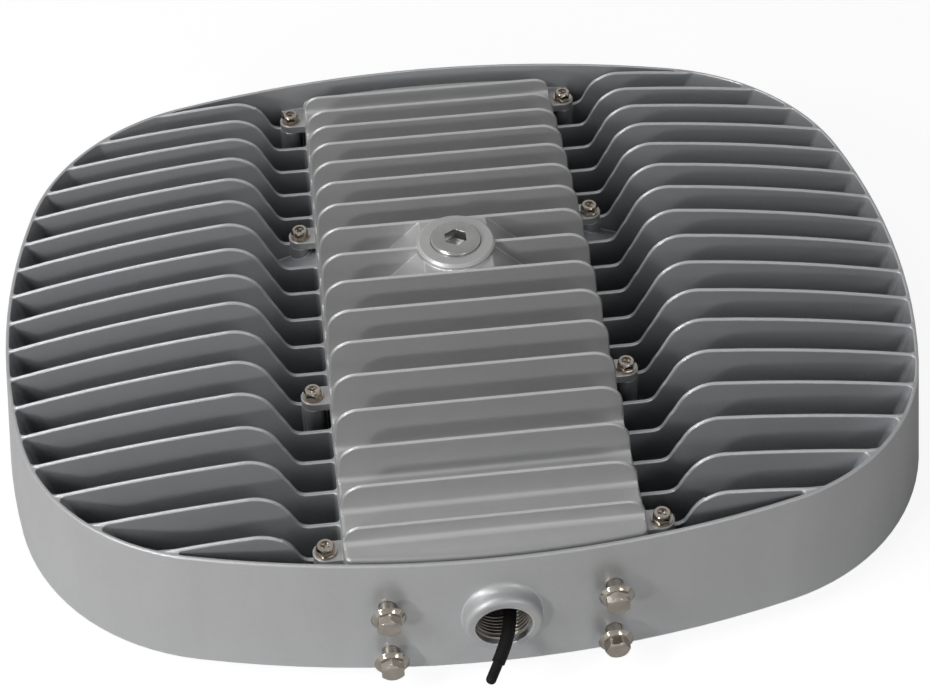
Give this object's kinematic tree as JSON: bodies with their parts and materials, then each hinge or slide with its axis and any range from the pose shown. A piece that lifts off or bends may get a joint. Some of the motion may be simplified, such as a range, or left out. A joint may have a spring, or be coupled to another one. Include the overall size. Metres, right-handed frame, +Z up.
{
  "type": "hazardous location flood light",
  "caption": "Oval finned cast flood light with a ribbed driver cover, conduit hub with a short cable, and backed-out flange bolts for a bracket.",
  "frame": {"origin": "middle of the lens frame's lower face, which is the face the part rests on", "axes": "+X along the fins, -Y out of the conduit hub, +Z up, away from the light side"},
  "size_m": [0.4744, 0.4096, 0.1053],
  "materials": {
    "cast_housing": "satin cast",
    "cast_cover": "satin cast",
    "cast_frame": "satin cast",
    "gasket_rubber": "matte",
    "nickel_steel": "nickel plated",
    "plug_steel": "satin",
    "cable_jacket": "satin",
    "black_plastic": "matte",
    "ground_brass": "bare",
    "driver_case": "painted",
    "pad_silicone": "matte",
    "white_board": "solder mask",
    "led_phosphor": "gloss",
    "clear_optic": "clear",
    "lens_glass": "clear"
  },
  "bodies": {
    "flood_light": {"heat_sink_housing": "cast_housing", "driver_cover": "cast_cover", "cover_gasket": "gasket_rubber", "cover_screws": "nickel_steel", "cover_washers": "nickel_steel", "port_plug": "plug_steel", "plug_seal": "gasket_rubber", "supply_cable": "cable_jacket", "cable_end": "cable_jacket", "supply_cable_inner": "cable_jacket", "cable_bushing": "gasket_rubber", "terminal_block": "black_plastic", "terminal_screws": "nickel_steel", "ground_screw": "ground_brass", "led_driver_left": "driver_case", "led_driver_right": "driver_case", "driver_screws": "nickel_steel", "surge_protector": "black_plastic", "lead_grommets": "gasket_rubber", "thermal_pads": "pad_silicone", "led_boards": "white_board", "led_packages": "led_phosphor", "board_screws": "nickel_steel", "optic_plates": "clear_optic", "lens_gasket": "gasket_rubber", "lens_glass": "lens_glass", "lens_cushion": "gasket_rubber", "lens_frame": "cast_frame", "lens_frame_screws": "nickel_steel"},
    "bolt_upper_left": {"bracket_bolt_upper_left": "nickel_steel"},
    "bolt_lower_left": {"bracket_bolt_lower_left": "nickel_steel"},
    "bolt_upper_right": {"bracket_bolt_upper_right": "nickel_steel"},
    "bolt_lower_right": {"bracket_bolt_lower_right": "nickel_steel"}
  },
  "joints": [
    {"name": "bolt_upper_left_slide", "type": "slide", "parent": "flood_light", "child": "bolt_upper_left", "axis": [0, 1, 0], "range_m": [-0.003, 0.0028]},
    {"name": "bolt_lower_left_slide", "type": "slide", "parent": "flood_light", "child": "bolt_lower_left", "axis": [0, 1, 0], "range_m": [-0.003, 0.0028]},
    {"name": "bolt_upper_right_slide", "type": "slide", "parent": "flood_light", "child": "bolt_upper_right", "axis": [0, 1, 0], "range_m": [-0.003, 0.0028]},
    {"name": "bolt_lower_right_slide", "type": "slide", "parent": "flood_light", "child": "bolt_lower_right", "axis": [0, 1, 0], "range_m": [-0.003, 0.0028]}
  ]
}
